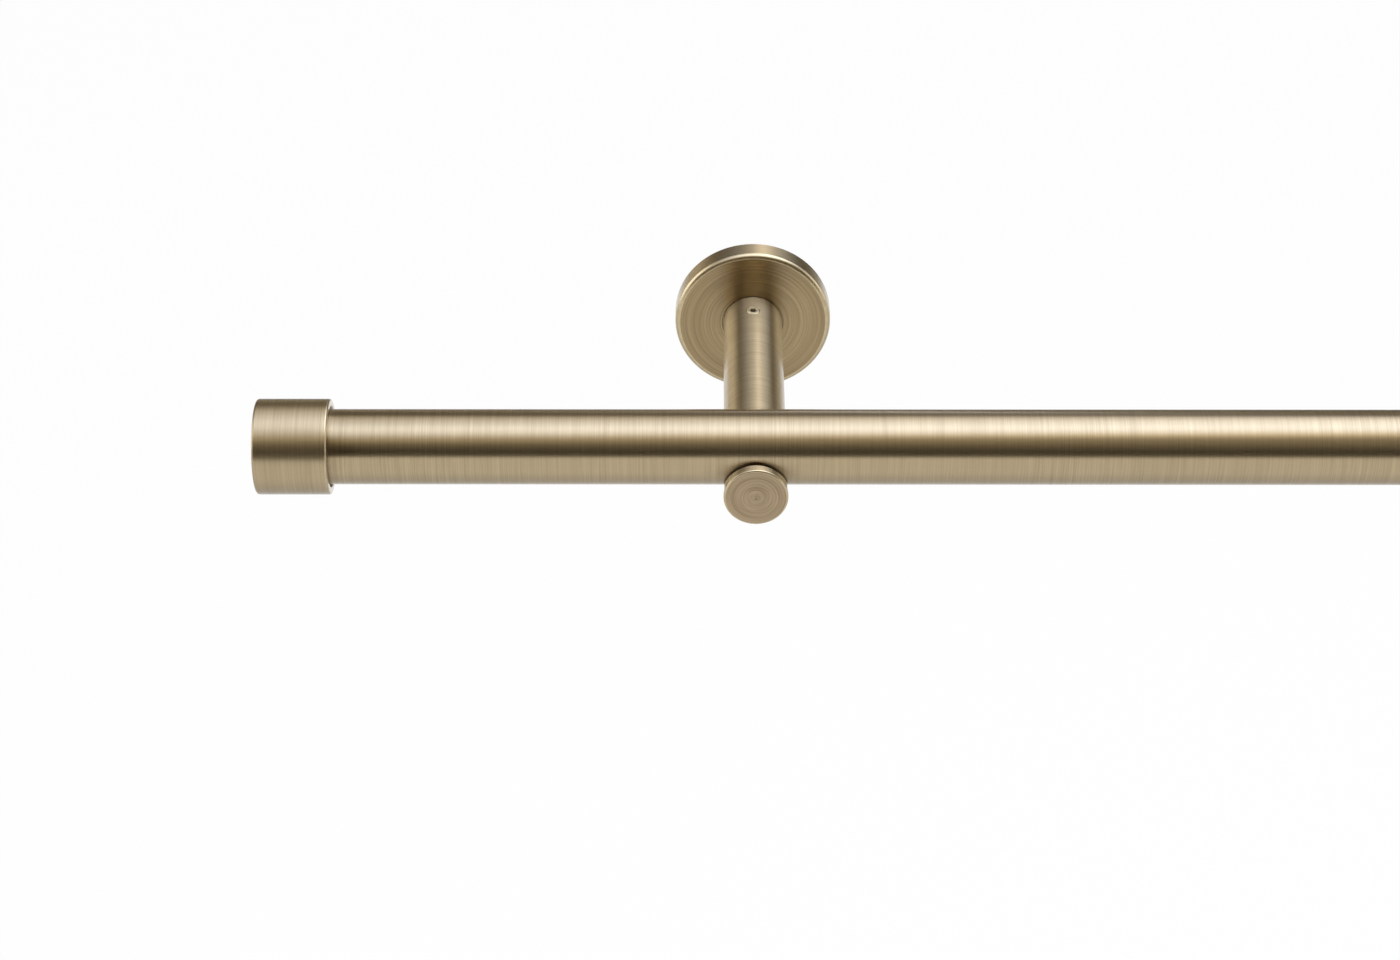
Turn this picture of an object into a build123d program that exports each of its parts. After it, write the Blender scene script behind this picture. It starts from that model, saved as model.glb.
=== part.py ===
from build123d import *
import os

# Metal curtain rod on two wall brackets.
# X runs along the rod, +Y points into the wall, Z is up, and the wall is the plane Y = 0.
# The origin is on the wall, midway between the brackets, at the height of the bracket posts.

# Rod
rod_length = 790.0
rod_diameter = 28.0
rod_wall = 1.0
wall_to_rod = 115.0
rod_rise = 9.75
rod_overhang = 180.0

# End caps
cap_wall = 3.5
cap_floor = 5.0
cap_bore_depth = 22.5
cap_clearance = 0.3
cap_edge_radius = 1.0
cap_mouth_chamfer = 0.6
cap_lead_in = 0.9
cap_lead_in_depth = 2.5
cap_screw_from_mouth = 9.0

# Bracket posts
post_diameter = 23.4
post_bore_wall = 3.8
lug_thickness = 4.0
saddle_room = 1.4
face_lip_height = 0.25
face_lip_length = 2.0
face_lip_radius = 0.7
post_joint_chamfer = 0.3
post_screw_from_rosette = 10.0
hole_edge_break = 0.4

# Rosettes
rosette_diameter = 62.0
rosette_thickness = 9.0
rosette_wall = 2.0
rosette_edge_radius = 2.0
post_seat_depth = 0.8
post_seat_gap = 0.4

# Wall plates, with two countersunk wall-screw holes each
plate_gap = 2.0
plate_thickness = 4.0
wall_hole_diameter = 5.0
wall_hole_sink_diameter = 9.4
wall_hole_spacing = 36.0

# Hubs that carry the posts and rosettes
hub_shoulder_width = 4.0
spigot_length = 17.0
spigot_clearance = 0.1
spigot_chamfer = 1.0
groove_depth = 1.5
bore_end_gap = 1.0

# Hub screws
hub_screw_diameter = 6.0
hub_screw_head_diameter = 11.6
hub_screw_length = 12.0
hub_screw_recess = 0.2
hub_screw_socket = 4.0
hub_screw_socket_depth = 2.0
hub_screw_end_gap = 1.5
hub_screw_hole_clearance = 0.2

# Screws and their holes
sink_angle = 90.0
post_screw_diameter = 5.0
post_screw_socket = 2.5
post_screw_recess = 0.1
post_screw_tip_diameter = 0.8
rod_screw_diameter = 5.0
rod_screw_socket = 2.5
rod_screw_recess = 0.5
cap_screw_diameter = 4.0
cap_screw_socket = 2.0
cap_screw_recess = 0.3
screw_end_chamfer = 0.5
screw_face_chamfer = 0.3
socket_depth = 1.8
thread_clearance = 0.1
seat_gap = 0.1

# Sizes that follow from the ones above
rod_radius = rod_diameter / 2
cap_bore_radius = rod_radius + cap_clearance
cap_radius = cap_bore_radius + cap_wall
post_radius = post_diameter / 2
lip_radius = post_radius + face_lip_height
post_foot = rosette_thickness - post_seat_depth
post_seat_radius = post_radius + post_seat_gap
saddle_radius = rod_radius + saddle_room
saddle_rise = rod_rise + saddle_room - seat_gap
post_end = wall_to_rod + saddle_radius + lug_thickness
rosette_radius = rosette_diameter / 2
rosette_inside_radius = rosette_radius - rosette_wall
rosette_back = rosette_thickness - rosette_wall
plate_radius = rosette_inside_radius - plate_gap
spigot_bore_radius = post_radius - post_bore_wall
spigot_radius = spigot_bore_radius - spigot_clearance
shoulder_radius = spigot_radius + hub_shoulder_width
spigot_end = rosette_thickness + spigot_length
post_screw_from_wall = rosette_thickness + post_screw_from_rosette
bracket_x = rod_length / 2 - rod_overhang

os.makedirs("parts", exist_ok=True)


def facing_room(x, from_wall):
    """Plane parallel to the wall, seen from the room, on a post's axis."""
    return Plane(origin=(x, -from_wall, 0), x_dir=(1, 0, 0), z_dir=(0, -1, 0))


def post_section(x):
    """Upright plane through a post's axis: first coordinate from the wall, second the radius."""
    return Plane(origin=(x, 0, 0), x_dir=(0, -1, 0), z_dir=(-1, 0, 0))


def set_screw(node, drive_end, diameter, length, tip_chamfer, socket):
    """Hexagon-socket set screw, from its drive end along the plane's normal to its tip."""
    along = Axis(drive_end.origin, drive_end.z_dir)
    with BuildPart() as screw:
        with BuildSketch(drive_end):
            Circle(diameter / 2)
        extrude(amount=length)
        chamfer(screw.edges().sort_by(along)[-1], tip_chamfer)
        chamfer(screw.edges().sort_by(along)[0], screw_face_chamfer)
        with BuildSketch(drive_end):
            RegularPolygon(socket / 2, side_count=6, major_radius=False)
        extrude(amount=socket_depth, mode=Mode.SUBTRACT)
    screw.part.label = node
    export_step(screw.part, f"parts/{node}.step")


# Rod: one straight round tube
with BuildPart() as rod_tube:
    with BuildSketch(Plane(origin=(-rod_length / 2, -wall_to_rod, rod_rise), z_dir=(1, 0, 0))):
        Circle(rod_radius)
        Circle(rod_radius - rod_wall, mode=Mode.SUBTRACT)
    extrude(amount=rod_length)
rod_tube.part.label = "rod_tube"
export_step(rod_tube.part, "parts/rod_tube.step")

for side, outward in (("left", -1), ("right", 1)):
    x = outward * bracket_x
    rod_end_x = outward * rod_length / 2
    rod_outward = Axis((rod_end_x, -wall_to_rod, rod_rise), (outward, 0, 0))
    post_axis = Axis((x, 0, 0), (0, -1, 0))

    # End cap: a turned cup whose floor stops the rod's end, with a tapered lead-in at its mouth
    with BuildPart() as end_cap:
        with BuildSketch(Plane(rod_outward.position, x_dir=(outward, 0, 0), z_dir=(0, -outward, 0))):
            with BuildLine():
                Polyline(
                    (cap_floor, 0),
                    (cap_floor, cap_radius),
                    (-cap_bore_depth, cap_radius),
                    (-cap_bore_depth, cap_bore_radius + cap_lead_in),
                    (cap_lead_in_depth - cap_bore_depth, cap_bore_radius),
                    (0, cap_bore_radius),
                    (0, 0),
                    close=True,
                )
            make_face()
        revolve(axis=rod_outward)
        rings = end_cap.edges().filter_by(GeomType.CIRCLE)
        fillet(rings.sort_by(rod_outward)[-1], cap_edge_radius)
        mouth = end_cap.edges().filter_by(GeomType.CIRCLE).group_by(rod_outward)[0]
        chamfer(mouth.sort_by(SortBy.RADIUS)[-1], cap_mouth_chamfer)
        cap_screw_x = rod_end_x - outward * (cap_bore_depth - cap_screw_from_mouth)
        cap_underside = (cap_screw_x, -wall_to_rod, rod_rise - cap_radius)
        with Locations(Plane(cap_underside, z_dir=(0, 0, -1))):
            Hole(cap_screw_diameter / 2 + thread_clearance, depth=cap_radius)
    end_cap.part.label = f"{side}_end_cap"
    export_step(end_cap.part, f"parts/{side}_end_cap.step")

    # Set screw in the underside of the cap, up against the rod
    set_screw(
        f"{side}_end_cap_set_screw",
        Plane(cap_underside).offset(cap_screw_recess),
        cap_screw_diameter,
        cap_radius - cap_screw_recess - rod_radius - seat_gap,
        screw_end_chamfer,
        cap_screw_socket,
    )

    # Bracket post: a turned bar, bored at the wall end, with a saddle milled across it for the rod,
    # and a low lip round its face
    with BuildPart() as bracket_post:
        with BuildSketch(post_section(x)):
            with BuildLine():
                Polyline(
                    (post_foot, spigot_bore_radius),
                    (post_foot, post_radius),
                    (post_end - face_lip_length - face_lip_height, post_radius),
                    (post_end - face_lip_length, lip_radius),
                    (post_end, lip_radius),
                    (post_end, 0),
                    (spigot_end + bore_end_gap, 0),
                    (spigot_end + bore_end_gap, spigot_bore_radius),
                    close=True,
                )
            make_face()
        revolve(axis=post_axis)
        rims = bracket_post.edges().filter_by(GeomType.CIRCLE).group_by(SortBy.RADIUS)[-1].sort_by(post_axis)
        fillet(rims[-1], face_lip_radius)
        foot = bracket_post.edges().filter_by(GeomType.CIRCLE).group_by(post_axis)[0]
        chamfer(foot.sort_by(SortBy.RADIUS)[-1], post_joint_chamfer)
        with BuildSketch(Plane((x, -wall_to_rod, saddle_rise), x_dir=(0, 1, 0), z_dir=(1, 0, 0))):
            Circle(saddle_radius)
            Rectangle(2 * saddle_radius, post_diameter, align=(Align.CENTER, Align.MIN))
        extrude(amount=post_diameter, both=True, mode=Mode.SUBTRACT)
        with Locations(Plane((x, -post_screw_from_wall, post_radius))):
            CounterSinkHole(
                post_screw_diameter / 2 + thread_clearance,
                post_screw_diameter / 2 + thread_clearance + hole_edge_break,
                depth=post_radius,
                counter_sink_angle=sink_angle,
            )
        with Locations(Plane((x, -wall_to_rod, -post_radius), z_dir=(0, 0, -1))):
            CounterSinkHole(
                rod_screw_diameter / 2 + thread_clearance,
                rod_screw_diameter / 2 + thread_clearance + hole_edge_break,
                depth=post_diameter,
                counter_sink_angle=sink_angle,
            )
    bracket_post.part.label = f"{side}_bracket_post"
    export_step(bracket_post.part, f"parts/{side}_bracket_post.step")

    # Set screw in the top of the post: its cone sits in the hub's groove and draws the post to the wall
    groove_floor = spigot_radius - groove_depth
    post_screw_top = post_radius - post_screw_recess
    set_screw(
        f"{side}_post_set_screw",
        Plane((x, -post_screw_from_wall, post_screw_top), z_dir=(0, 0, -1)),
        post_screw_diameter,
        post_screw_top - groove_floor - post_screw_tip_diameter / 2 - seat_gap,
        (post_screw_diameter - post_screw_tip_diameter) / 2,
        post_screw_socket,
    )

    # Set screw from below, through the saddle, up against the rod
    set_screw(
        f"{side}_rod_set_screw",
        Plane((x, -wall_to_rod, rod_screw_recess - post_radius)),
        rod_screw_diameter,
        rod_rise - rod_radius - seat_gap / 2 - rod_screw_recess + post_radius,
        screw_end_chamfer,
        rod_screw_socket,
    )

    # Rosette: a turned cover with a shallow seat for the post, held between the post and the hub's shoulder
    with BuildPart() as rosette:
        with BuildSketch(post_section(x)):
            with BuildLine():
                Polyline(
                    (0, rosette_inside_radius),
                    (0, rosette_radius),
                    (rosette_thickness, rosette_radius),
                    (rosette_thickness, post_seat_radius),
                    (post_foot, post_seat_radius),
                    (post_foot, spigot_bore_radius),
                    (rosette_back, spigot_bore_radius),
                    (rosette_back, rosette_inside_radius),
                    close=True,
                )
            make_face()
        revolve(axis=post_axis)
        rims = rosette.edges().filter_by(GeomType.CIRCLE).group_by(SortBy.RADIUS)[-1]
        fillet(rims.sort_by(post_axis)[-1], rosette_edge_radius)
    rosette.part.label = f"{side}_rosette"
    export_step(rosette.part, f"parts/{side}_rosette.step")

    # Wall plate: countersunk for the wall screws from the room, and for the hub screw from behind
    with BuildPart() as wall_plate:
        with BuildSketch(facing_room(x, 0)):
            Circle(plate_radius)
        extrude(amount=plate_thickness)
        with Locations(facing_room(x, plate_thickness)):
            with GridLocations(wall_hole_spacing, wall_hole_spacing, 1, 2):
                CounterSinkHole(
                    wall_hole_diameter / 2,
                    wall_hole_sink_diameter / 2,
                    depth=plate_thickness,
                    counter_sink_angle=sink_angle,
                )
        with Locations(Plane((x, 0, 0), z_dir=(0, 1, 0))):
            CounterSinkHole(
                hub_screw_diameter / 2 + hub_screw_hole_clearance,
                hub_screw_head_diameter / 2 + hub_screw_recess + hub_screw_hole_clearance,
                depth=plate_thickness,
                counter_sink_angle=sink_angle,
            )
    wall_plate.part.label = f"{side}_wall_plate"
    export_step(wall_plate.part, f"parts/{side}_wall_plate.step")

    # Hub: shoulder, spigot and the groove for the post's set screw
    hub_hole_radius = hub_screw_diameter / 2 + thread_clearance
    hub_hole_end = hub_screw_recess + hub_screw_length + hub_screw_end_gap
    with BuildPart() as hub:
        with BuildSketch(post_section(x)):
            with BuildLine():
                Polyline(
                    (plate_thickness, hub_hole_radius),
                    (plate_thickness, shoulder_radius),
                    (rosette_back, shoulder_radius),
                    (rosette_back, spigot_radius),
                    (post_screw_from_wall - groove_depth, spigot_radius),
                    (post_screw_from_wall, groove_floor),
                    (post_screw_from_wall + groove_depth, spigot_radius),
                    (spigot_end - spigot_chamfer, spigot_radius),
                    (spigot_end, spigot_radius - spigot_chamfer),
                    (spigot_end, 0),
                    (hub_hole_end, 0),
                    (hub_hole_end, hub_hole_radius),
                    close=True,
                )
            make_face()
        revolve(axis=post_axis)
    hub.part.label = f"{side}_hub"
    export_step(hub.part, f"parts/{side}_hub.step")

    # Hub screw: a countersunk socket screw from behind the plate
    hub_screw_end = hub_screw_recess + hub_screw_length
    head_radius = hub_screw_head_diameter / 2
    shank_radius = hub_screw_diameter / 2
    with BuildPart() as hub_screw:
        with BuildSketch(post_section(x)):
            with BuildLine():
                Polyline(
                    (hub_screw_recess, 0),
                    (hub_screw_recess, head_radius),
                    (hub_screw_recess + head_radius - shank_radius, shank_radius),
                    (hub_screw_end - screw_end_chamfer, shank_radius),
                    (hub_screw_end, shank_radius - screw_end_chamfer),
                    (hub_screw_end, 0),
                    close=True,
                )
            make_face()
        revolve(axis=post_axis)
        with BuildSketch(facing_room(x, hub_screw_recess)):
            RegularPolygon(hub_screw_socket / 2, side_count=6, major_radius=False)
        extrude(amount=hub_screw_socket_depth, mode=Mode.SUBTRACT)
    hub_screw.part.label = f"{side}_hub_screw"
    export_step(hub_screw.part, f"parts/{side}_hub_screw.step")
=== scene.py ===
"""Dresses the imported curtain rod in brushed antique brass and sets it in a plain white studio."""
import math

import bmesh
import bpy
from bpy.props import FloatProperty, FloatVectorProperty, PointerProperty
from mathutils import Matrix, Quaternion, Vector


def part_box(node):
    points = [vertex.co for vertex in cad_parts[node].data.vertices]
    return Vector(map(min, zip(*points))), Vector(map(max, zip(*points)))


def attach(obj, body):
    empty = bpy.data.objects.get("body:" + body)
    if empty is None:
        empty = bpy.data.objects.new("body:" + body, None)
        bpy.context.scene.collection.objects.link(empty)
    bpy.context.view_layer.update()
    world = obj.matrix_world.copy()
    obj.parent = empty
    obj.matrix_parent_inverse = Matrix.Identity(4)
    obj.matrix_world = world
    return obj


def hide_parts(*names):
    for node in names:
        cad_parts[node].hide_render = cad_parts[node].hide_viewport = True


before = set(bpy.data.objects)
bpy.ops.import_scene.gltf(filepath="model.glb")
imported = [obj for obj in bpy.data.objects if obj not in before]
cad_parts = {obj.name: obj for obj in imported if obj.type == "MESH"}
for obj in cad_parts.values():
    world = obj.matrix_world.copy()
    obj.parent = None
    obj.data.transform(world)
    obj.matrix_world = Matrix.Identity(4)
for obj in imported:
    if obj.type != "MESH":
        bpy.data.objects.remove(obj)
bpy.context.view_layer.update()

bl_info = {
    "name": "Curtain Rod",
    "version": (1, 0, 0),
    "blender": (4, 5, 0),
    "location": "View3D > Sidebar > Curtain Rod",
    "description": "Builds the turned brass pieces of a wall-mounted curtain rod over its CAD frame",
    "category": "Add Mesh",
}

MM = 0.001
SIDES = ("left", "right")
RIGHT = Vector((1, 0, 0))
ROOM = Vector((0, -1, 0))
UP = Vector((0, 0, 1))
WHITE = Vector((1, 1, 1))
TURNED_STEPS = 192
ARC_STEPS = 7
SHARP_ANGLE = math.radians(32)
# Places in a turned piece's list of materials
FINISH, EDGE, FACE = 0, 1, 2
# A normal this far along the lathe axis belongs to a flat face
FACE_NORMAL = 0.98
PHOTO_WIDTH = 1400


def linear(hex_colour):
    """Linear RGB of an sRGB hex colour."""
    parts = [int(hex_colour[i:i + 2], 16) / 255 for i in (1, 3, 5)]
    return tuple(c / 12.92 if c <= 0.04045 else ((c + 0.055) / 1.055) ** 2.4 for c in parts)


def length(name, description, default_mm):
    """A length property, given in millimetres and held in metres."""
    return FloatProperty(
        name=name, description=description, default=default_mm * MM, min=0, precision=5,
        subtype="DISTANCE", unit="LENGTH",
    )


def colour(name, description, hex_colour):
    """A colour property, given as sRGB hex and held as linear RGB."""
    return FloatVectorProperty(
        name=name, description=description, default=linear(hex_colour),
        size=3, min=0, max=1, subtype="COLOR",
    )


def angle(name, description, degrees):
    """An angle property, given in degrees and held in radians."""
    return FloatProperty(
        name=name, description=description, default=math.radians(degrees), subtype="ANGLE", unit="ROTATION",
    )


def brightness(name, description, default):
    """A brightness property, where 1 is white."""
    return FloatProperty(name=name, description=f"{description}, where 1 is white", default=default, min=0)


class RodSizes(bpy.types.PropertyGroup):
    """Small sizes of the turned pieces. The main sizes come from the CAD frame."""

    tube_wall: length("Tube wall", "Thickness of the rod's wall", 1.0)
    cap_floor: length("Cap floor", "Thickness of an end cap's closed end", 5.0)
    cap_bore_gap: length("Cap bore gap", "Room between the rod and the cap's bore", 0.3)
    cap_edge: length("Cap edge radius", "Rounding of the closed end's edge", 1.0)
    cap_lip: length("Cap lip radius", "Rounding of the mouth's outer edge", 0.8)
    cap_lead: length("Cap lead-in", "How far the bore widens at the mouth", 0.9)
    cap_lead_depth: length("Cap lead-in depth", "Depth of that taper", 2.5)
    post_bore: length("Post bore radius", "Radius of the bore that slides over the hub", 7.9)
    post_bore_depth: length("Post bore depth", "Depth of that bore", 18.8)
    post_joint: length("Post joint", "Rounding where the post meets the rosette", 0.3)
    lip_height: length("Lip height", "How far the lip round the post's face stands out", 0.25)
    lip_length: length("Lip length", "Length of that lip", 2.0)
    lip_edge: length("Lip edge radius", "Rounding of the lip's front edge", 0.7)
    saddle_room: length("Saddle room", "Room in front of the rod and behind it in its saddle", 1.4)
    saddle_seat: length("Saddle seat", "Gap under the rod where it lies in its saddle", 0.1)
    centre_mark: length("Centre mark", "Radius of the lathe centre's mark in the post's face", 0.8)
    rosette_wall: length("Rosette wall", "Thickness of the rosette's wall and face", 2.0)
    rosette_edge: length("Rosette edge radius", "Rounding of the rosette's front edge", 2.0)
    seat_depth: length("Seat depth", "Depth of the rosette's seat for the post", 0.8)
    seat_gap: length("Seat gap", "Room round the post in that seat", 0.4)
    thread_gap: length("Thread gap", "Room round a set screw in its tapped hole", 0.1)
    hole_edge: length("Hole edge", "Broken edge round a post's screw hole", 0.4)
    edge_break: length("Edge break", "Rounding of the edges that are only deburred", 0.2)


class RodFinish(bpy.types.PropertyGroup):
    """Colours and brush marks of the finishes."""

    brass: colour("Brass", "Brushed antique brass under its lacquer", "#B8A480")
    brass_dark: colour("Brass in the grooves", "Toning left in the brush grooves", "#9D8A65")
    brass_light: colour("Brass on the ridges", "Metal relieved on the ridges", "#CDBA95")
    zinc: colour("Zinc", "Bright zinc plating on the hidden steel", "#B4B6B8")
    zinc_dull: colour("Dull zinc", "Zinc that has dulled in patches", "#8F9294")
    # Partly painted highlight: this paler brass draws the bright lines along the relieved edges
    edge: colour("Relieved edge", "Brass where the toning is polished off the edges", "#D4C49E")
    post_face: colour("Tone of the post's face", "Toning that tints the brass on the post's face", "#E3DDDD")
    rosette_face: colour("Tone of the rosette's face", "Toning that tints the brass there", "#D5CDBD")
    plate: colour("Plate", "Bright brass plate on the set screws", "#F0E2BE")
    # Painted shade: this dark colour stands for the shade deep in the set screws' sockets
    socket_shade: colour("Oil", "Dark oil left in the set screws' sockets", "#2E261A")
    brush_spacing: length("Brush spacing", "Distance between brush lines", 0.36)
    brush_length: length("Brush length", "Length of one brush line on the rod", 26.0)
    patch_size: length("Patch size", "Size of the patches of brass that have aged alike", 45)
    rub_size: length("Rub size", "Size of the rubbed spots on the relieved edges", 3)
    zinc_patch: length("Zinc patch", "Size of the dull patches in the zinc", 9)
    zinc_crystal: length("Zinc crystal", "Size of the zinc's crystals", 0.5)
    wear_size: length("Wear size", "Size of the worn spots on the set screws", 0.8)
    # How far from the socket's walls that painted shade reaches
    socket_shade_reach: length("Oil reach", "How far from a socket's walls the oil lies", 1.4)
    mark_depth: length("Mark depth", "Depth of the brush lines, crystals and dents", 0.02)


class RodStage(bpy.types.PropertyGroup):
    """Floor, light and camera."""

    floor: colour("Floor", "Colour of the plain floor", "#FFFFFF")
    floor_width: length("Floor width", "Width and depth of the floor", 9000)
    floor_drop: length("Floor drop", "Height of the rod's brackets above the floor", 450)
    room_reach: length("Room reach", "Distance from the rod to the studio's walls", 20000)
    room_dark: colour("Dark room", "The unlit part of the room in front", "#281F13")
    room_grey: colour("Grey room", "The back of the room", "#928E88")
    room_warm: colour("Warm room", "The room's upper front, in the tint of wood", "#FFEBC4")
    left_screen: brightness("Left screen", "Brightness of the screen at the left", 2.2)
    right_screen: brightness("Right screen", "Brightness of the screen at the right", 1.7)
    panel: colour("Softbox", "Colour of the softbox's light", "#DEE8FF")
    panel_cool: colour("Softbox by the lamp", "Colour of the softbox's light nearest to its lamp", "#CFE0FF")
    panel_strength: brightness("Softbox strength", "Brightness of the softbox where it is brightest", 4.2)
    panel_width: length("Softbox width", "Size of the softbox along the rod, before its turn", 3000)
    panel_depth: length("Softbox depth", "Size of the softbox across the rod, before its turn", 2100)
    panel_height: length("Softbox height", "Height of the softbox above the rod", 800)
    panel_setback: length("Softbox setback", "How far behind the rod the softbox's middle hangs", 285)
    panel_line: length("Softbox line", "From the softbox's middle forward to its brightest line", 200)
    panel_turn: angle("Softbox turn", "Turn of the softbox about an upright line", 24)
    view_elevation: angle("View elevation", "Angle at which the camera looks down", 33.72)
    view_azimuth: angle("View azimuth", "Angle at which the camera stands round the rod", -0.31)
    view_roll: angle("View roll", "Turn of the camera about its own view, which levels the rod", -0.13)
    view_distance: length("View distance", "From the camera to the point that it looks at", 1192.35)
    view_left: length("View left", "How far left of the left post's axis that point lies", 20.65)
    view_below: length("View below", "How far that point lies below the rod's axis in the picture", 12.3)
    view_focal: FloatProperty(
        name="Focal pixels", description="Focal length in pixels of the photograph", default=3212.85, min=1,
    )


def add_node(tree, kind, inputs=None, **settings):
    """Adds a node with its settings; an input takes a value or another node's output."""
    node = tree.nodes.new(kind)
    for name, value in settings.items():
        setattr(node, name, value)
    for key, value in (inputs or {}).items():
        if isinstance(value, bpy.types.NodeSocket):
            tree.links.new(value, node.inputs[key])
        else:
            node.inputs[key].default_value = value
    return node


def empty_tree(owner):
    """The node tree of a material, world or light, with nothing in it."""
    owner.use_nodes = True
    owner.node_tree.nodes.clear()
    return owner.node_tree


def brushed_brass(name="brushed_antique_brass", face_tone=(1, 1, 1), brushing=0.96, roughness=(0.41, 0.34)):
    """Antique-toned brass, brushed on a lathe and lacquered.

    The brush leaves fine lines round each piece, and rings on the flat faces, so a highlight spreads across
    them and stays narrow along them. The lacquer adds a clear, uncoloured shine on top of the brown metal.
    Toning wiped on in the lathe stays thicker on a flat face, which the face tone gives.
    """
    if name in bpy.data.materials:
        return bpy.data.materials[name]
    finish = bpy.context.scene.rod_finish
    material = bpy.data.materials.new(name)
    tree = empty_tree(material)
    spacing = finish.brush_spacing

    # Every turned piece has its lathe axis on its own Z, so one brush line keeps its radius and its Z
    place = add_node(tree, "ShaderNodeTexCoord").outputs["Object"]
    flat = add_node(tree, "ShaderNodeVectorMath", {0: place, 1: (1, 1, 0)}, operation="MULTIPLY").outputs[0]
    radius = add_node(tree, "ShaderNodeVectorMath", {0: flat}, operation="LENGTH").outputs["Value"]
    round_it = add_node(tree, "ShaderNodeVectorMath", {0: flat}, operation="NORMALIZE").outputs[0]
    along = add_node(tree, "ShaderNodeVectorMath", {0: place, 1: (0, 0, 1)}, operation="MULTIPLY").outputs[0]

    def brush_lines(line_spacing, turns, detail):
        """Noise drawn out round the lathe axis: fine across the lines and slow along them."""
        slow = add_node(
            tree, "ShaderNodeVectorMath", {0: round_it, 1: (turns,) * 3}, operation="MULTIPLY").outputs[0]
        where = add_node(
            tree, "ShaderNodeVectorMath", {0: along, 1: (1 / line_spacing,) * 3, 2: slow},
            operation="MULTIPLY_ADD").outputs[0]
        which = add_node(
            tree, "ShaderNodeMath", {0: radius, 1: 1 / line_spacing}, operation="MULTIPLY").outputs[0]
        return add_node(
            tree, "ShaderNodeTexNoise",
            {"Vector": where, "W": which, "Scale": 1, "Detail": detail, "Roughness": 0.6},
            noise_dimensions="4D").outputs["Fac"]

    # Real brush lines are about a tenth of a millimetre apart; these are drawn coarser so that they show
    rod_low, rod_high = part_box("rod_tube")
    turns = (rod_high.z - rod_low.z) / 2 / finish.brush_length
    fine = brush_lines(spacing, turns, 1)
    broad = brush_lines(spacing * 9, turns * 0.3, 2)
    patch = add_node(
        tree, "ShaderNodeTexNoise", {"Vector": place, "Scale": 1 / finish.patch_size, "Detail": 2},
    ).outputs["Fac"]
    facing = add_node(
        tree, "ShaderNodeSeparateXYZ", {"Vector": add_node(tree, "ShaderNodeTexCoord").outputs["Normal"]})
    endways = add_node(tree, "ShaderNodeMath", {0: facing.outputs["Z"]}, operation="ABSOLUTE").outputs[0]
    flat_face = add_node(
        tree, "ShaderNodeMapRange", {"Value": endways, "From Min": 0.8, "From Max": 0.99}).outputs["Result"]
    # On a flat face the facing tool leaves broad rings among the fine ones
    share = add_node(
        tree, "ShaderNodeMapRange", {"Value": flat_face, "To Min": 0.1, "To Max": 0.32}).outputs["Result"]
    lines = add_node(tree, "ShaderNodeMix", {"Factor": share, "A": fine, "B": broad}).outputs["Result"]

    toned = add_node(
        tree, "ShaderNodeMapRange", {"Value": lines, "From Min": 0.34, "From Max": 0.66}).outputs["Result"]
    metal = add_node(
        tree, "ShaderNodeMix",
        {"Factor": toned, "A": (*finish.brass_dark, 1), "B": (*finish.brass_light, 1)}, data_type="RGBA")
    aged = add_node(
        tree, "ShaderNodeMapRange",
        {"Value": patch, "From Min": 0.35, "From Max": 0.7, "To Min": 0.6, "To Max": 0.86}).outputs["Result"]
    # Age has evened out the colour of the outside more than that of the rings
    ringed = add_node(
        tree, "ShaderNodeMapRange", {"Value": flat_face, "To Min": 1.0, "To Max": 0.35}).outputs["Result"]
    even = add_node(tree, "ShaderNodeMath", {0: aged, 1: ringed}, operation="MULTIPLY").outputs[0]
    base = add_node(
        tree, "ShaderNodeMix",
        {"Factor": even, "A": metal.outputs["Result"], "B": (*finish.brass, 1)}, data_type="RGBA")
    base = add_node(
        tree, "ShaderNodeMix",
        {"Factor": flat_face, "A": base.outputs["Result"], "B": (*face_tone, 1)},
        data_type="RGBA", blend_type="MULTIPLY")
    rough = add_node(
        tree, "ShaderNodeMapRange",
        {"Value": lines, "From Min": 0.3, "From Max": 0.7, "To Min": roughness[0], "To Max": roughness[1]},
    ).outputs["Result"]
    # A flat face is turned finer than the outside
    finer = add_node(
        tree, "ShaderNodeMapRange", {"Value": flat_face, "To Min": 1.0, "To Max": 0.78}).outputs["Result"]
    rough = add_node(tree, "ShaderNodeMath", {0: rough, 1: finer}, operation="MULTIPLY").outputs[0]
    # The brown toning in the grooves is an oxide, so it is less of a metal than the ridges
    bare = add_node(
        tree, "ShaderNodeMapRange",
        {"Value": lines, "From Min": 0.36, "From Max": 0.6, "To Min": 0.97, "To Max": 1.0}).outputs["Result"]
    grooves = add_node(
        tree, "ShaderNodeBump", {"Height": lines, "Strength": 0.25, "Distance": finish.mark_depth},
    ).outputs["Normal"]
    shader = add_node(tree, "ShaderNodeBsdfPrincipled", {
        "Base Color": base.outputs["Result"], "Metallic": bare, "Roughness": rough, "Normal": grooves,
        "Anisotropic": brushing, "Anisotropic Rotation": 0.25,
        "Coat Weight": 0.8, "Coat Roughness": 0.16, "Coat IOR": 1.5,
        "Tangent": add_node(tree, "ShaderNodeTangent", direction_type="RADIAL", axis="Z").outputs["Tangent"],
    })
    add_node(tree, "ShaderNodeOutputMaterial", {"Surface": shader.outputs["BSDF"]})
    return material


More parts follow.
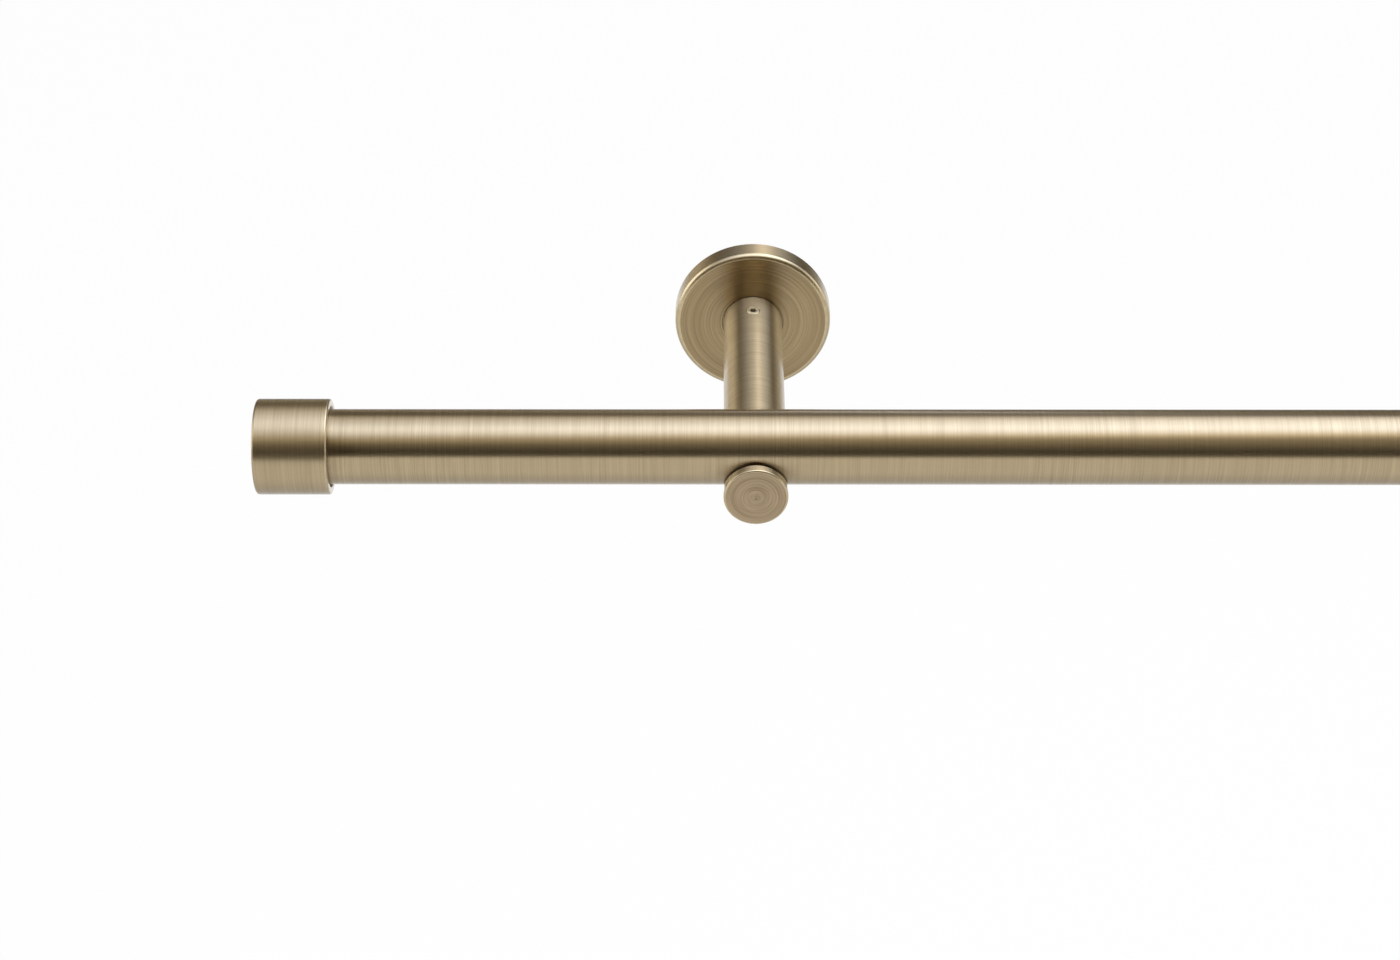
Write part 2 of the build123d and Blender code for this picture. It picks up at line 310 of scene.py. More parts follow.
def relieved_edge_painted_highlight():
    """Brass edges with the toning polished off: smoother, and paler partly as a painted highlight, so they
    draw a fine bright line.
    """
    name = "polished_antique_brass_edge"
    if name in bpy.data.materials:
        return bpy.data.materials[name]
    finish = bpy.context.scene.rod_finish
    material = bpy.data.materials.new(name)
    tree = empty_tree(material)
    place = add_node(tree, "ShaderNodeTexCoord").outputs["Object"]
    rubbed = add_node(
        tree, "ShaderNodeTexNoise", {"Vector": place, "Scale": 1 / finish.rub_size, "Detail": 3},
    ).outputs["Fac"]
    # Partly painted highlight: the paler edge colour stands for the light that the edges catch
    base = add_node(
        tree, "ShaderNodeMix", {"Factor": rubbed, "A": (*finish.brass, 1), "B": (*finish.edge, 1)},
        data_type="RGBA")
    rough = add_node(
        tree, "ShaderNodeMapRange", {"Value": rubbed, "To Min": 0.38, "To Max": 0.3}).outputs["Result"]
    shader = add_node(tree, "ShaderNodeBsdfPrincipled", {
        "Base Color": base.outputs["Result"], "Metallic": 1.0, "Roughness": rough,
        "Coat Weight": 0.6, "Coat Roughness": 0.16, "Coat IOR": 1.5})
    add_node(tree, "ShaderNodeOutputMaterial", {"Surface": shader.outputs["BSDF"]})
    return material


def plated_zinc():
    """Mild steel, barrel-plated with bright zinc: cool silver with soft dull patches and faint crystals."""
    name = "bright_zinc_plated_steel"
    if name in bpy.data.materials:
        return bpy.data.materials[name]
    finish = bpy.context.scene.rod_finish
    material = bpy.data.materials.new(name)
    tree = empty_tree(material)
    place = add_node(tree, "ShaderNodeTexCoord").outputs["Object"]
    patch = add_node(
        tree, "ShaderNodeTexNoise",
        {"Vector": place, "Scale": 1 / finish.zinc_patch, "Detail": 4, "Roughness": 0.6}).outputs["Fac"]
    grain = add_node(
        tree, "ShaderNodeTexNoise", {"Vector": place, "Scale": 1 / finish.zinc_crystal, "Detail": 2},
    ).outputs["Fac"]
    dull = add_node(
        tree, "ShaderNodeMapRange", {"Value": patch, "From Min": 0.4, "From Max": 0.7}).outputs["Result"]
    base = add_node(
        tree, "ShaderNodeMix", {"Factor": dull, "A": (*finish.zinc, 1), "B": (*finish.zinc_dull, 1)},
        data_type="RGBA")
    rough = add_node(
        tree, "ShaderNodeMapRange", {"Value": patch, "To Min": 0.22, "To Max": 0.42}).outputs["Result"]
    pitted = add_node(
        tree, "ShaderNodeBump", {"Height": grain, "Strength": 0.2, "Distance": finish.mark_depth},
    ).outputs["Normal"]
    shader = add_node(tree, "ShaderNodeBsdfPrincipled", {
        "Base Color": base.outputs["Result"], "Metallic": 1.0, "Roughness": rough, "Normal": pitted})
    add_node(tree, "ShaderNodeOutputMaterial", {"Surface": shader.outputs["BSDF"]})
    return material


def plated_screw_brass():
    """Steel set screws under bright brass plate: paler than brushed brass, with painted shade darkening the
    socket.
    """
    name = "bright_brass_plated_steel"
    if name in bpy.data.materials:
        return bpy.data.materials[name]
    finish = bpy.context.scene.rod_finish
    material = bpy.data.materials.new(name)
    tree = empty_tree(material)
    place = add_node(tree, "ShaderNodeTexCoord").outputs["Object"]
    worn = add_node(
        tree, "ShaderNodeTexNoise", {"Vector": place, "Scale": 1 / finish.wear_size, "Detail": 3},
    ).outputs["Fac"]
    base = add_node(
        tree, "ShaderNodeMix", {"Factor": worn, "A": (*finish.edge, 1), "B": (*finish.plate, 1)},
        data_type="RGBA")
    # Painted shade: ambient occlusion darkens the plate towards the socket's walls, where shade falls
    socket_openness = add_node(
        tree, "ShaderNodeAmbientOcclusion", {"Distance": finish.socket_shade_reach}, only_local=True).outputs["AO"]
    unshaded = add_node(
        tree, "ShaderNodeMapRange", {"Value": socket_openness, "From Min": 0.45, "From Max": 0.95}).outputs["Result"]
    base = add_node(
        tree, "ShaderNodeMix", {"Factor": unshaded, "A": (*finish.socket_shade, 1), "B": base.outputs["Result"]},
        data_type="RGBA")
    rough = add_node(
        tree, "ShaderNodeMapRange", {"Value": worn, "To Min": 0.45, "To Max": 0.65}).outputs["Result"]
    dents = add_node(
        tree, "ShaderNodeBump", {"Height": worn, "Strength": 0.2, "Distance": finish.mark_depth},
    ).outputs["Normal"]
    shader = add_node(tree, "ShaderNodeBsdfPrincipled", {
        "Base Color": base.outputs["Result"], "Metallic": 1.0, "Roughness": rough, "Normal": dents})
    add_node(tree, "ShaderNodeOutputMaterial", {"Surface": shader.outputs["BSDF"]})
    return material


def rounded(corners):
    """Outline of a section whose corners are (radius, distance along, rounding, and "relieved" or nothing).

    Gives the outline's points, and for each whether the stretch that starts there is a relieved edge, which
    takes the painted highlight.
    """
    points = []
    for i, (radius, along, rounding, *finish) in enumerate(corners):
        here = Vector((radius, along))
        if rounding <= 0:
            points.append((here, False))
            continue
        before = (Vector(corners[i - 1][:2]) - here).normalized()
        after = (Vector(corners[(i + 1) % len(corners)][:2]) - here).normalized()
        half = before.angle(after) / 2
        middle = here + (before + after).normalized() * (rounding / math.sin(half))
        start = here + before * (rounding / math.tan(half)) - middle
        end = here + after * (rounding / math.tan(half)) - middle
        sweep = start.angle_signed(end)
        for step in range(ARC_STEPS + 1):
            turn = Matrix.Rotation(-sweep * step / ARC_STEPS, 2)
            points.append((middle + turn @ start, bool(finish) and step < ARC_STEPS))
    return points


def turned(name, corners, foot, direction):
    """A piece turned on a lathe: the section spun about the line from foot along direction."""
    section = rounded(corners)
    mesh = bpy.data.meshes.new(name)
    # One place for the piece's finish and one for its relieved edges with their painted highlight, which a
    # cut then keeps
    mesh.materials.append(None)
    mesh.materials.append(None)
    shape = bmesh.new()
    rings = []
    for (radius, along), _ in section:
        if radius < 1e-7:
            rings.append([shape.verts.new((0, 0, along))] * TURNED_STEPS)
            continue
        rings.append([
            shape.verts.new((radius * math.cos(a), radius * math.sin(a), along))
            for a in (math.tau * step / TURNED_STEPS for step in range(TURNED_STEPS))
        ])
    for i, ring in enumerate(rings):
        follower = rings[(i + 1) % len(rings)]
        for step in range(TURNED_STEPS):
            beside = (step + 1) % TURNED_STEPS
            around = [ring[step], ring[beside], follower[beside], follower[step]]
            corners_left = list(dict.fromkeys(around))
            if len(corners_left) > 2:
                shape.faces.new(corners_left).material_index = EDGE if section[i][1] else FINISH
    bmesh.ops.recalc_face_normals(shape, faces=shape.faces)
    shape.to_mesh(mesh)
    shape.free()
    piece = bpy.data.objects.new(name, mesh)
    bpy.context.scene.collection.objects.link(piece)
    turn = UP.rotation_difference(direction).to_matrix().to_4x4()
    piece.matrix_world = Matrix.Translation(foot) @ turn
    return piece


def cut(piece, *tools):
    """Takes the tools' shapes out of the piece and removes the tools."""
    for tool in tools:
        step = piece.modifiers.new("cut", "BOOLEAN")
        step.operation = "DIFFERENCE"
        step.solver = "EXACT"
        step.object = tool
    bpy.context.view_layer.update()
    ready = piece.evaluated_get(bpy.context.evaluated_depsgraph_get())
    solid = bpy.data.meshes.new_from_object(ready)
    piece.modifiers.clear()
    piece.data = solid
    for tool in tools:
        bpy.data.objects.remove(tool)


def finish_piece(piece, material, node, face=None):
    """Smooths the round faces, keeps the edges crisp, and puts the piece in its CAD node's place.

    The flat faces across the lathe axis take the face material, where one is given.
    """
    mesh = piece.data
    mesh.shade_smooth()
    mesh.set_sharp_from_angle(angle=SHARP_ANGLE)
    even = piece.modifiers.new("even_shading", "WEIGHTED_NORMAL")
    even.weight = 80
    even.keep_sharp = True
    mesh.materials[FINISH], mesh.materials[EDGE] = material, relieved_edge_painted_highlight()
    if face:
        mesh.materials.append(face)
        for polygon in mesh.polygons:
            if polygon.material_index == FINISH and abs(polygon.normal.z) > FACE_NORMAL:
                polygon.material_index = FACE
    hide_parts(node)
    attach(piece, "root")


def coat_node(node, material):
    """Gives a CAD node that stays its material."""
    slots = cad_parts[node].data.materials
    slots.clear()
    slots.append(material)


class CURTAIN_ROD_OT_tube(bpy.types.Operator):
    """Builds the rod's tube with its deburred ends"""

    bl_idname = "curtain_rod.tube"
    bl_label = "Rod tube"

    def execute(self, context):
        sizes = context.scene.rod_sizes
        low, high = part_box("rod_tube")
        radius = (high.z - low.z) / 2
        bore = radius - sizes.tube_wall
        tube = turned("rod", [
            (radius, 0, sizes.edge_break),
            (radius, high.x - low.x, sizes.edge_break),
            (bore, high.x - low.x, sizes.edge_break),
            (bore, 0, sizes.edge_break),
        ], Vector((low.x, (low.y + high.y) / 2, (low.z + high.z) / 2)), RIGHT)
        finish_piece(tube, brushed_brass(), "rod_tube")
        return {"FINISHED"}


class CURTAIN_ROD_OT_end_caps(bpy.types.Operator):
    """Builds the two turned end caps with the tapped hole in their underside"""

    bl_idname = "curtain_rod.end_caps"
    bl_label = "End caps"

    def execute(self, context):
        sizes = context.scene.rod_sizes
        rod_low, rod_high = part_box("rod_tube")
        bore = (rod_high.z - rod_low.z) / 2 + sizes.cap_bore_gap
        for side in SIDES:
            low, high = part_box(f"{side}_end_cap")
            inward = RIGHT if side == "left" else -RIGHT
            radius, depth = (high.z - low.z) / 2, high.x - low.x
            foot = (low + high) / 2 - inward * depth / 2
            cap = turned(f"{side}_cap", [
                (0, 0, 0),
                (radius, 0, sizes.cap_edge),
                (radius, depth, sizes.cap_lip, "relieved"),
                (bore + sizes.cap_lead, depth, sizes.edge_break),
                (bore, depth - sizes.cap_lead_depth, 0),
                (bore, sizes.cap_floor, sizes.edge_break),
                (0, sizes.cap_floor, 0),
            ], foot, inward)
            screw_low, screw_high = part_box(f"{side}_end_cap_set_screw")
            hole = (screw_high.x - screw_low.x) / 2 + sizes.thread_gap
            drill = turned("drill", [
                (0, 0, 0), (hole, 0, 0), (hole, radius, 0), (0, radius, 0),
            ], Vector(((screw_low.x + screw_high.x) / 2, foot.y, low.z - radius / 2)), UP)
            cut(cap, drill)
            soft_brass = brushed_brass("brushed_antique_brass_cap", brushing=0.78, roughness=(0.47, 0.38))
            finish_piece(cap, soft_brass, f"{side}_end_cap")
        return {"FINISHED"}


class CURTAIN_ROD_OT_posts(bpy.types.Operator):
    """Builds the two bracket posts: turned bars with a bore, a saddle for the rod and screw holes"""

    bl_idname = "curtain_rod.posts"
    bl_label = "Bracket posts"

    def execute(self, context):
        sizes = context.scene.rod_sizes
        rod_low, rod_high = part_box("rod_tube")
        saddle = (rod_high.z - rod_low.z) / 2 + sizes.saddle_room
        for side in SIDES:
            low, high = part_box(f"{side}_bracket_post")
            lip, reach = (high.x - low.x) / 2, high.y - low.y
            radius = lip - sizes.lip_height
            axis_x = (low.x + high.x) / 2
            axis_z = low.z + lip
            post = turned(f"{side}_post", [
                (sizes.post_bore, 0, 0),
                (radius, 0, sizes.post_joint),
                (radius, reach - sizes.lip_length - sizes.lip_height, 0),
                (lip, reach - sizes.lip_length, sizes.edge_break),
                (lip, reach, sizes.lip_edge, "relieved"),
                (sizes.centre_mark, reach, sizes.centre_mark * 0.3),
                (0, reach - sizes.centre_mark * 0.45, 0),
                (0, sizes.post_bore_depth, 0),
                (sizes.post_bore, sizes.post_bore_depth, 0),
            ], Vector((axis_x, high.y, axis_z)), ROOM)

            rod_y = (rod_low.y + rod_high.y) / 2
            rod_z = (rod_low.z + rod_high.z) / 2 + sizes.saddle_room - sizes.saddle_seat
            mill = turned("mill", [
                (0, 0, 0), (saddle, 0, 0), (saddle, radius * 4, 0), (0, radius * 4, 0),
            ], Vector((axis_x - radius * 2, rod_y, rod_z)), RIGHT)
            slot = bpy.data.objects.new("slot", bpy.data.meshes.new("slot"))
            block = bmesh.new()
            bmesh.ops.create_cube(block, size=1)
            block.to_mesh(slot.data)
            block.free()
            bpy.context.scene.collection.objects.link(slot)
            slot.scale = (radius * 4, saddle * 2, radius * 2)
            slot.location = (axis_x, rod_y, rod_z + radius)

            drills = []
            for screw, down in (("post_set_screw", -1), ("rod_set_screw", 1)):
                screw_low, screw_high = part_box(f"{side}_{screw}")
                hole = (screw_high.x - screw_low.x) / 2 + sizes.thread_gap
                # The drill starts outside, flares at the wall to ease the hole's edge, and stops inside
                drills.append(turned("drill", [
                    (0, -radius / 2, 0),
                    (hole + sizes.hole_edge + radius / 2, -radius / 2, 0),
                    (hole, sizes.hole_edge, sizes.hole_edge * 1.2, "relieved"),
                    (hole, radius, 0),
                    (0, radius, 0),
                ], Vector((axis_x, (screw_low.y + screw_high.y) / 2, axis_z - down * radius)), UP * down))
            cut(post, mill, slot, *drills)
            toned = context.scene.rod_finish.post_face
            side_brass = brushed_brass("brushed_antique_brass_post", toned, roughness=(0.54, 0.38))
            face_brass = brushed_brass("faced_antique_brass", toned, 0.5, (0.50, 0.36))
            finish_piece(post, side_brass, f"{side}_bracket_post", face_brass)
        return {"FINISHED"}


class CURTAIN_ROD_OT_rosettes(bpy.types.Operator):
    """Builds the two turned rosettes that cover the wall plates"""

    bl_idname = "curtain_rod.rosettes"
    bl_label = "Rosettes"

    def execute(self, context):
        sizes = context.scene.rod_sizes
        for side in SIDES:
            low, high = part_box(f"{side}_rosette")
            radius, depth = (high.x - low.x) / 2, high.y - low.y
            wall = sizes.rosette_wall
            post_low, post_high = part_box(f"{side}_bracket_post")
            seat = (post_high.x - post_low.x) / 2 - sizes.lip_height + sizes.seat_gap
            rosette = turned(f"{side}_rosette_cover", [
                (radius - wall, 0, 0),
                (radius, 0, sizes.edge_break),
                (radius, depth, sizes.rosette_edge, "relieved"),
                (seat, depth, sizes.edge_break),
                (seat, depth - sizes.seat_depth, 0),
                (sizes.post_bore, depth - sizes.seat_depth, 0),
                (sizes.post_bore, depth - wall, 0),
                (radius - wall, depth - wall, 0),
            ], Vector(((low.x + high.x) / 2, high.y, (low.z + high.z) / 2)), ROOM)
            toned = context.scene.rod_finish.rosette_face
            finish_piece(
                rosette, brushed_brass("brushed_antique_brass_rosette", toned, 0.86), f"{side}_rosette")
        return {"FINISHED"}


class CURTAIN_ROD_OT_set_screws(bpy.types.Operator):
    """Gives the set screws in the posts and caps their plated finish"""

    bl_idname = "curtain_rod.set_screws"
    bl_label = "Set screws"

    def execute(self, context):
        for side in SIDES:
            for screw in ("post_set_screw", "rod_set_screw", "end_cap_set_screw"):
                coat_node(f"{side}_{screw}", plated_screw_brass())
        return {"FINISHED"}


class CURTAIN_ROD_OT_wall_fixings(bpy.types.Operator):
    """Gives the wall plates, hubs and hub screws their zinc finish"""

    bl_idname = "curtain_rod.wall_fixings"
    bl_label = "Wall fixings"

    def execute(self, context):
        for side in SIDES:
            for piece in ("wall_plate", "hub", "hub_screw"):
                coat_node(f"{side}_{piece}", plated_zinc())
        return {"FINISHED"}


class CURTAIN_ROD_OT_stage(bpy.types.Operator):
    """Sets up the white floor, the softbox, the room round them and the camera"""

    bl_idname = "curtain_rod.stage"
    bl_label = "Stage"

    def execute(self, context):
        stage = context.scene.rod_stage
        context.scene.view_settings.view_transform = "Standard"
        self.lay_floor(context, stage)
        self.hang_softbox(context, stage)
        self.paint_room(context, stage)
        self.place_camera(context, stage)
        return {"FINISHED"}

    def sheet(self, context, name, width, depth):
        """A flat rectangle round its own middle."""
        x, y = width / 2, depth / 2
        mesh = bpy.data.meshes.new(name)
        mesh.from_pydata([(-x, -y, 0), (x, -y, 0), (x, y, 0), (-x, y, 0)], [], [(0, 1, 2, 3)])
        return self.stand(context, name, mesh)

    def stand(self, context, name, mesh):
        """Adds a mesh to the scene as an object of that name."""
        piece = bpy.data.objects.new(name, mesh)
        context.scene.collection.objects.link(piece)
        return piece

    def bands(self, tree, value, stops):
        """Colours that follow a value, given as (value, colour) stops from its lowest to its highest."""
        low, high = stops[0][0], stops[-1][0]
        share = add_node(tree, "ShaderNodeMapRange", {"Value": value, "From Min": low, "From Max": high})
        node = add_node(tree, "ShaderNodeValToRGB", {"Fac": share.outputs["Result"]})
        marks = node.color_ramp.elements
        marks[0].position, marks[1].position = 0, 1
        marks[0].color, marks[1].color = (*stops[0][1], 1), (*stops[-1][1], 1)
        for at, tint in stops[1:-1]:
            marks.new((at - low) / (high - low)).color = (*tint, 1)
        return node.outputs["Color"]

    def lay_floor(self, context, stage):
        """White paper floor: white to the camera, with painted shade and light in what metal and glass see,
        and it takes the shadow.
        """
        floor = self.sheet(context, "floor", stage.floor_width, stage.floor_width)
        floor.location.z = -stage.floor_drop
        paper = bpy.data.materials.new("white_paper_floor")
        tree = empty_tree(paper)
        path = add_node(tree, "ShaderNodeLightPath").outputs
        seen = path["Is Camera Ray"]
        for ray in ("Is Glossy Ray", "Is Transmission Ray"):
            seen = add_node(tree, "ShaderNodeMath", {0: seen, 1: path[ray]}, operation="MAXIMUM").outputs[0]
        share = add_node(tree, "ShaderNodeMath", {0: seen, 1: 0.97}, operation="MULTIPLY").outputs[0]
        matt = add_node(tree, "ShaderNodeBsdfDiffuse", {"Color": (*stage.floor, 1)})
        place = add_node(tree, "ShaderNodeTexCoord").outputs["Object"]
        back = add_node(tree, "ShaderNodeSeparateXYZ", {"Vector": place}).outputs["Y"]
        # Metres behind the wall: the paper's glow for metal is painted darker under the brackets, bright
        # round them and dark far off
        painted_floor_shade = self.bands(tree, back, [(metres, WHITE * level) for metres, level in (
            (-1.0, 1.0), (-0.45, 1.0), (-0.2, 0.75), (0.0, 0.6), (0.25, 0.8), (0.45, 1.0),
            (1.0, 1.0), (1.6, 0.5), (2.4, 0.22), (3.0, 0.2))])
        # Painted shade and light: metal and glass see the paper's glow at these levels, the camera sees it
        # white
        shade = add_node(
            tree, "ShaderNodeMath", {0: painted_floor_shade, 1: path["Is Camera Ray"]}, operation="MAXIMUM").outputs[0]
        white = add_node(tree, "ShaderNodeEmission", {"Color": (*stage.floor, 1), "Strength": shade})
        upper = add_node(
            tree, "ShaderNodeMixShader", {0: share, 1: matt.outputs[0], 2: white.outputs[0]})
        clear = add_node(tree, "ShaderNodeBsdfTransparent")
        under = add_node(tree, "ShaderNodeNewGeometry").outputs["Backfacing"]
        both = add_node(tree, "ShaderNodeMixShader", {0: under, 1: upper.outputs[0], 2: clear.outputs[0]})
        add_node(tree, "ShaderNodeOutputMaterial", {"Surface": both.outputs[0]})
        floor.data.materials.append(paper)

    def hang_softbox(self, context, stage):
        """A large flat cloth softbox overhead, brightest in its middle and fading to its edges."""
        rod_low, rod_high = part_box("rod_tube")
        rod_y = (rod_low.y + rod_high.y) / 2
        panel = self.sheet(context, "softbox", stage.panel_width, stage.panel_depth)
        panel.location = (0, rod_y + stage.panel_setback, rod_high.z + stage.panel_height)
        panel.rotation_euler.z = stage.panel_turn
        panel.visible_camera = False
        cloth = bpy.data.materials.new("softbox_cloth")
        tree = empty_tree(cloth)
        place = add_node(tree, "ShaderNodeTexCoord").outputs["Object"]
        split = add_node(tree, "ShaderNodeSeparateXYZ", {"Vector": place}).outputs

        def patch(along, across):
            """Brightness from (metres, level) stops along the softbox and across it.

            Along it they count from its middle to the right, across it from its brightest line back.
            """
            return add_node(tree, "ShaderNodeMath", {
                0: self.bands(tree, split["Y"], [
                    (metres - stage.panel_line, WHITE * level) for metres, level in across]),
                1: self.bands(tree, split["X"], [(metres, WHITE * level) for metres, level in along]),
            }, operation="MULTIPLY").outputs[0]

        # The lamp stands right of the middle, and its light falls off faster to the front than to the back
        lamp = patch(
            along=((-1.5, 0), (-0.9, 0.2), (-0.7, 0.44), (-0.5, 0.67), (-0.3, 0.85), (-0.1, 0.96),
                   (0.05, 1.0), (0.3, 1.0), (0.5, 0.8), (0.7, 0.5), (0.9, 0.2), (1.5, 0)),
            across=((-0.85, 0), (-0.62, 0.02), (-0.5, 0.08), (-0.36, 0.38), (-0.22, 0.75), (0, 1.0),
                    (0.22, 0.72), (0.45, 0.33), (0.62, 0.16), (0.9, 0.03), (1.25, 0)))
        # A faint glow in the front left corner widens the highlight of the left end cap
        corner = patch(
            along=((-1.5, 0), (-1.25, 1), (-0.8, 1), (-0.5, 0), (1.5, 0)),
            across=((-0.85, 0), (-0.7, 0), (-0.5, 0.12), (-0.2, 0.12), (0, 0), (1.25, 0)))
        level = add_node(tree, "ShaderNodeMath", {0: lamp, 1: corner}).outputs[0]
        glow = add_node(
            tree, "ShaderNodeMath", {0: level, 1: stage.panel_strength}, operation="MULTIPLY").outputs[0]
        # The cloth is cooler at the right, by the lamp, and warmer towards its front edge
        tint = (*stage.panel, 1)
        for side, none, full, other in (
                ("X", -0.1, 0.6, stage.panel_cool), ("Y", -0.42, -0.62, stage.room_warm)):
            share = add_node(
                tree, "ShaderNodeMapRange", {"Value": split[side], "From Min": none, "From Max": full})
            tint = add_node(
                tree, "ShaderNodeMix", {"Factor": share.outputs["Result"], "A": tint, "B": (*other, 1)},
                data_type="RGBA").outputs["Result"]
        light = add_node(tree, "ShaderNodeEmission", {"Color": tint, "Strength": glow})
        clear = add_node(tree, "ShaderNodeBsdfTransparent")
        both = add_node(tree, "ShaderNodeAddShader", {0: light.outputs[0], 1: clear.outputs[0]})
        add_node(tree, "ShaderNodeOutputMaterial", {"Surface": both.outputs[0]})
        panel.data.materials.append(cloth)

    def paint_room(self, context, stage):
        """A white world, and in it studio walls: dark in front, grey behind, and screens at the sides."""
        world = bpy.data.worlds.new("white_backdrop")
        context.scene.world = world
        tree = empty_tree(world)
        white_back = add_node(tree, "ShaderNodeBackground", {"Color": (1, 1, 1, 1), "Strength": 1.0})
        add_node(tree, "ShaderNodeOutputWorld", {"Surface": white_back.outputs[0]})

        rod_low, rod_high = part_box("rod_tube")
        shell = bmesh.new()
        bmesh.ops.create_uvsphere(shell, u_segments=48, v_segments=24, radius=stage.room_reach)
        mesh = bpy.data.meshes.new("studio_walls")
        shell.to_mesh(mesh)
        shell.free()
        room = self.stand(context, "studio_walls", mesh)
        room.location = (rod_low + rod_high) / 2
        room.visible_camera = False
        paint = bpy.data.materials.new("painted_studio_walls")
        mesh.materials.append(paint)
        # The metal's own reflections find the walls, so no light samples are spent on them
        paint.cycles.emission_sampling = "NONE"
        tree = empty_tree(paint)
        place = add_node(tree, "ShaderNodeTexCoord").outputs["Object"]
        way = add_node(tree, "ShaderNodeVectorMath", {0: place}, operation="NORMALIZE").outputs[0]
        split = add_node(tree, "ShaderNodeSeparateXYZ", {"Vector": way}).outputs
        dark, grey, warm = Vector(stage.room_dark), Vector(stage.room_grey), Vector(stage.room_warm)

        def around(rise, run, stops):
            """Colours round an axis, from (degrees, colour) stops that run from -180 to 180."""
            turn = add_node(tree, "ShaderNodeMath", {0: rise, 1: run}, operation="ARCTAN2").outputs[0]
            return self.bands(tree, turn, [(math.radians(degrees), tint) for degrees, tint in stops])

        def paint_over(under, tint, strength, *limits):
            """Paints a colour on the walls within soft limits, given as (axis, none, full)."""
            share = strength
            for axis, none, full in limits:
                edge = add_node(
                    tree, "ShaderNodeMapRange", {"Value": split[axis], "From Min": none, "From Max": full},
                    interpolation_type="SMOOTHSTEP").outputs["Result"]
                share = add_node(
                    tree, "ShaderNodeMath", {0: share, 1: edge}, operation="MULTIPLY").outputs[0]
            return add_node(
                tree, "ShaderNodeMix", {"Factor": share, "A": under, "B": tint}, data_type="RGBA",
            ).outputs["Result"]

        # Degrees round the rod's axis: 0 level in front, 90 overhead, 180 level behind
        front = add_node(tree, "ShaderNodeMath", {0: split["Y"], 1: -1.0}, operation="MULTIPLY").outputs[0]
        walls = around(split["Z"], front, (
            (-180, grey * 0.5), (-172, grey * 0.6), (-150, WHITE * 0.6), (-8, WHITE), (-3, WHITE), (4, dark),
            (22, dark), (30, warm * 0.06), (38, warm * 0.14), (46, warm * 0.15), (58, warm * 0.1),
            (75, warm * 0.12), (125, grey * 0.5), (140, grey * 0.35), (180, grey * 0.5)))
        # Degrees round the posts' axes: 0 overhead, 90 level at the right, minus 90 level at the left
        wood = warm * grey.x * 1.1
        sides = around(split["X"], split["Z"], [
            (degrees, (grey if -30 < degrees < 36 else wood) * level) for degrees, level in (
                (-180, 1.0), (-95, 1.0), (-80, 1.15), (-68, 1.2), (-56, 0.7), (-42, 0.25), (-22, 0.1),
                (0, 1.9), (14, 9.0), (28, 2.0), (44, 0.2), (58, 0.3), (80, 0.2), (100, 0.3), (180, 0.8))])
        walls = paint_over(walls, sides, 1.0, ("Y", 0.2, 0.6))
        # Above the level line the back wall is darker round its middle
        walls = paint_over(
            walls, (*dark, 1), 0.65, ("Y", 0.7, 0.82), ("Y", 0.985, 0.93), ("Z", 0, 0.15))
        # A screen stands at each end of the rod, and ends in front of it and behind it
        for none, full, level in ((-0.66, -0.92, stage.left_screen), (0.82, 0.96, stage.right_screen)):
            walls = paint_over(
                walls, (*(WHITE * level), 1), 1.0, ("X", none, full), ("Y", -0.56, -0.24), ("Y", 0.65, 0.35))
        lit = add_node(tree, "ShaderNodeEmission", {"Color": walls, "Strength": 1.0})
        add_node(tree, "ShaderNodeOutputMaterial", {"Surface": lit.outputs[0]})

    def place_camera(self, context, stage):
        """Stands the camera at the photograph's angle, with the left bracket right of the frame's middle."""
        low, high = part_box("rod_tube")
        post_low, post_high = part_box("left_bracket_post")
        tilt, swing = stage.view_elevation, stage.view_azimuth
        aim = Vector((
            (post_low.x + post_high.x) / 2 - stage.view_left, (low.y + high.y) / 2, (low.z + high.z) / 2))
        aim -= Vector((0, math.sin(tilt), math.cos(tilt))) * stage.view_below
        ahead = Vector((
            math.sin(swing) * math.cos(tilt), math.cos(swing) * math.cos(tilt), -math.sin(tilt)))
        lens = bpy.data.cameras.new("camera")
        lens.sensor_width = 36
        lens.lens = stage.view_focal / PHOTO_WIDTH * lens.sensor_width
        camera = bpy.data.objects.new("camera", lens)
        camera.location = aim - ahead * stage.view_distance
        level = ahead.to_track_quat("-Z", "Y")
        camera.rotation_euler = (level @ Quaternion((0, 0, 1), stage.view_roll)).to_euler()
        context.scene.collection.objects.link(camera)
        context.scene.camera = camera


BUILDERS = (
    CURTAIN_ROD_OT_tube,
    CURTAIN_ROD_OT_end_caps,
    CURTAIN_ROD_OT_posts,
    CURTAIN_ROD_OT_rosettes,
    CURTAIN_ROD_OT_set_screws,
    CURTAIN_ROD_OT_wall_fixings,
    CURTAIN_ROD_OT_stage,
)


class CURTAIN_ROD_PT_panel(bpy.types.Panel):
    """Lists the builders and the values that they use"""

    bl_idname = "CURTAIN_ROD_PT_panel"
    bl_label = "Curtain Rod"
    bl_space_type = "VIEW_3D"
    bl_region_type = "UI"
    bl_category = "Curtain Rod"

    def draw(self, context):
        column = self.layout.column(align=True)
        for builder in BUILDERS:
            column.operator(builder.bl_idname)
        for group in (context.scene.rod_sizes, context.scene.rod_finish, context.scene.rod_stage):
            values = self.layout.box().column()
            for name in group.bl_rna.properties.keys():
                if name not in {"rna_type", "name"}:
                    values.prop(group, name)


GROUPS = {"rod_sizes": RodSizes, "rod_finish": RodFinish, "rod_stage": RodStage}
CLASSES = (*GROUPS.values(), *BUILDERS, CURTAIN_ROD_PT_panel)


def register():
    for kind in CLASSES:
        bpy.utils.register_class(kind)
    for name, group in GROUPS.items():
        setattr(bpy.types.Scene, name, PointerProperty(type=group))


def unregister():
    for name in GROUPS:
        delattr(bpy.types.Scene, name)
    for kind in reversed(CLASSES):
        bpy.utils.unregister_class(kind)


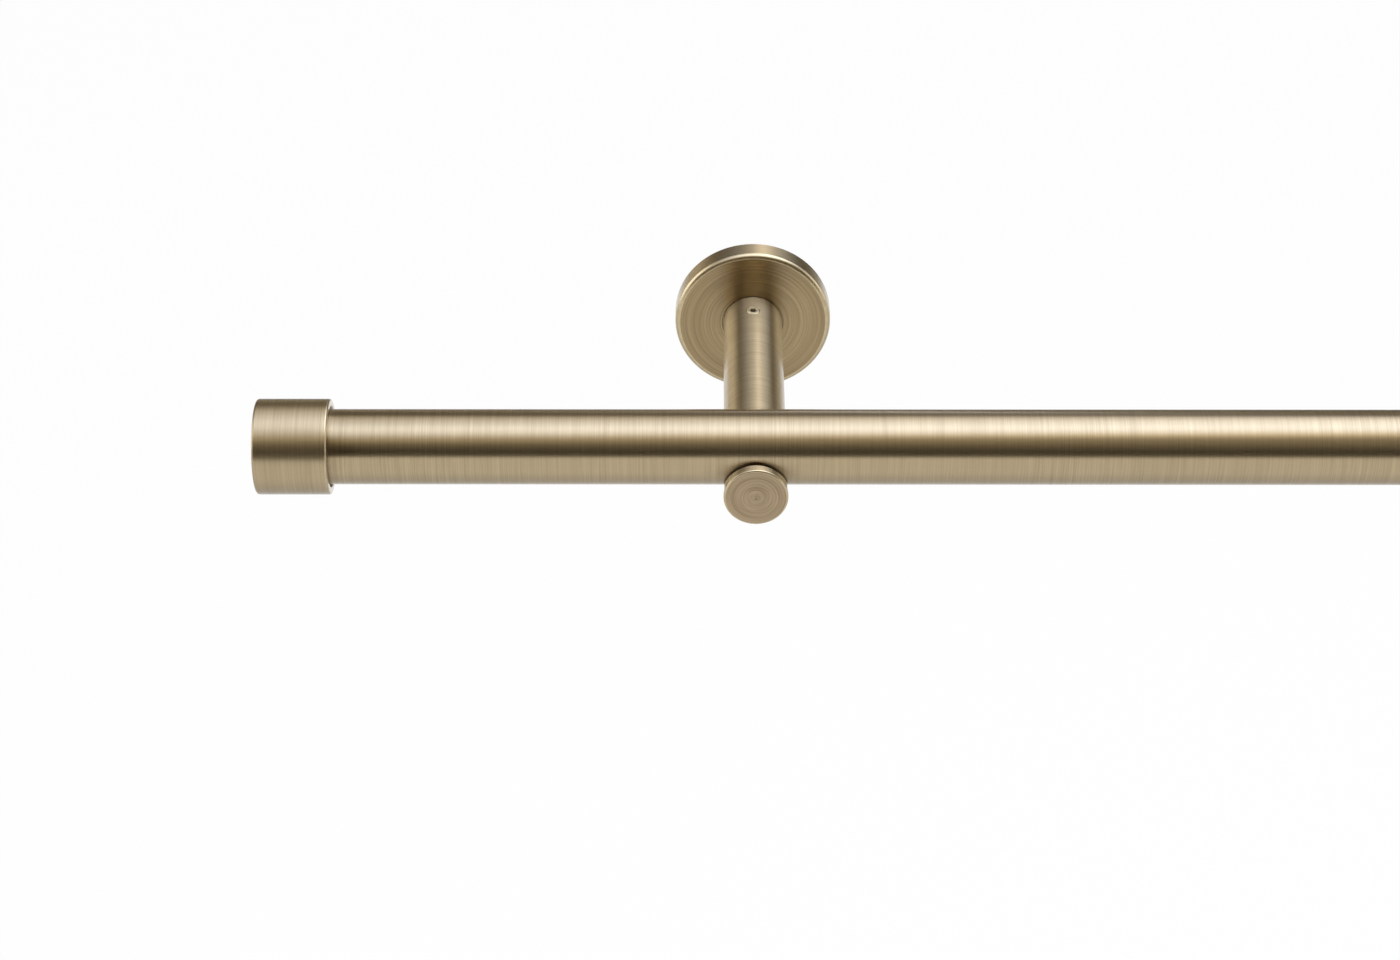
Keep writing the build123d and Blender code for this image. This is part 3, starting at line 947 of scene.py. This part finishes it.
def main():
    register()
    bpy.ops.curtain_rod.tube()
    bpy.ops.curtain_rod.end_caps()
    bpy.ops.curtain_rod.posts()
    bpy.ops.curtain_rod.rosettes()
    bpy.ops.curtain_rod.set_screws()
    bpy.ops.curtain_rod.wall_fixings()
    bpy.ops.curtain_rod.stage()


if __name__ == "__main__":
    main()
